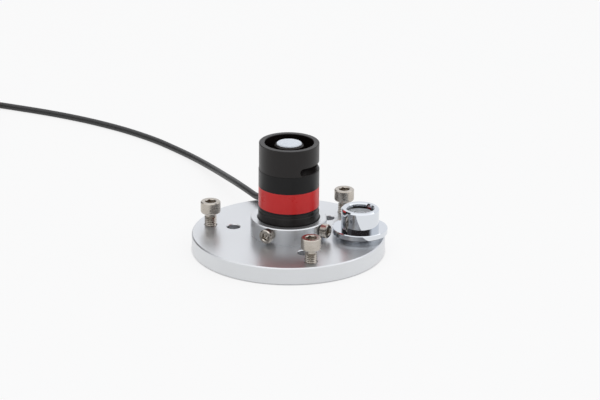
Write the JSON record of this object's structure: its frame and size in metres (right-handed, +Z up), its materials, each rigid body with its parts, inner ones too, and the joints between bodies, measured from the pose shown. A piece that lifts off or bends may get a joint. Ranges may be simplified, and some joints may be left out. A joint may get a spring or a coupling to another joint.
{
  "type": "pyranometer with levelling fixture",
  "caption": "Small cylindrical silicon pyranometer clamped in a round levelling plate with levelling screws, a bull's-eye level and a thin cable ending in a bayonet plug.",
  "frame": {"origin": "centre of the base plate's underside, on the sensor's axis", "axes": "+Z up along the sensor's axis, -Y to the front, +X towards the spirit level"},
  "size_m": [0.2375, 0.2179, 0.0447],
  "materials": {
    "anodised_plate": "clear satin anodised, fairly reflective",
    "stainless_screw": "stainless steel, smooth, warm grey",
    "black_anodised": "black satin anodised aluminium",
    "white_acrylic": "translucent white acrylic",
    "label_black": "black printed foil with a slight gloss",
    "label_red": "red printed foil with a slight gloss",
    "level_chrome": "polished chrome",
    "level_glass": "clear glass",
    "level_liquid": "clear liquid",
    "level_backing": "pale enamel with a black ring",
    "brass": "turned brass",
    "seal_rubber": "matt black rubber",
    "cable_jacket": "smooth black polyurethane with a soft sheen",
    "board_green": "green solder mask",
    "black_moulding": "moulded black plastic",
    "gold_contact": "gold plated",
    "white_insulator": "white fluoropolymer",
    "wire_red": "wire insulation",
    "silicon": "polished silicon",
    "nickel_plate": "nickel plated brass"
  },
  "bodies": {
    "fixture": {"base_plate": "anodised_plate", "sensor_base": "black_anodised", "sensor_housing": "black_anodised", "head_seal": "seal_rubber", "base_screws": "stainless_screw", "diffuser": "white_acrylic", "diffuser_gasket": "seal_rubber", "photodiode_header": "gold_contact", "photodiode_cap": "nickel_plate", "photodiode_window": "level_glass", "photodiode_chip": "silicon", "circuit_board": "board_green", "board_retainer": "stainless_screw", "contact_socket": "black_moulding", "contact_pins": "gold_contact", "pin_insulator": "white_insulator", "core_wires": "wire_red", "cable_gland": "seal_rubber", "label_band": "label_black", "label_red_band": "label_red", "level_housing": "level_chrome", "level_window": "level_glass", "level_seal": "seal_rubber", "level_fluid": "level_liquid", "level_bubble": "level_glass", "level_target": "level_backing", "level_plug": "brass", "level_fixing_screw": "stainless_screw", "cable_lead": "cable_jacket", "cable_coil": "cable_jacket", "cable_tail": "cable_jacket", "coil_tie": "black_moulding", "plug_boot": "seal_rubber", "plug_crimp_sleeve": "nickel_plate", "plug_body": "nickel_plate", "plug_insulator": "white_insulator", "plug_pin": "gold_contact", "plug_gasket": "seal_rubber"},
    "left_levelling_screw": {"levelling_screw_left": "stainless_screw"},
    "front_levelling_screw": {"levelling_screw_front": "stainless_screw"},
    "rear_levelling_screw": {"levelling_screw_rear": "stainless_screw"},
    "left_clamp_screw": {"clamp_screw_left": "stainless_screw"},
    "right_clamp_screw": {"clamp_screw_right": "stainless_screw"},
    "bayonet_collar": {"plug_collar": "nickel_plate"}
  },
  "joints": [
    {"name": "left_levelling_travel", "type": "slide", "parent": "fixture", "child": "left_levelling_screw", "axis": [0, 0, 1], "range_m": [-0.0049, 0.003]},
    {"name": "front_levelling_travel", "type": "slide", "parent": "fixture", "child": "front_levelling_screw", "axis": [0, 0, 1], "range_m": [-0.0049, 0.003]},
    {"name": "rear_levelling_travel", "type": "slide", "parent": "fixture", "child": "rear_levelling_screw", "axis": [0, 0, 1], "range_m": [-0.0049, 0.003]},
    {"name": "left_clamp_travel", "type": "slide", "parent": "fixture", "child": "left_clamp_screw", "axis": [-0.5, -0.866, 0], "range_m": [0, 0.001]},
    {"name": "right_clamp_travel", "type": "slide", "parent": "fixture", "child": "right_clamp_screw", "axis": [0.866, -0.5, 0], "range_m": [0, 0.001]},
    {"name": "bayonet_turn", "type": "hinge", "parent": "fixture", "child": "bayonet_collar", "pos_m": [-0.19117, 0.09299, 0.00725], "axis": [0, -1, 0], "continuous": true}
  ]
}
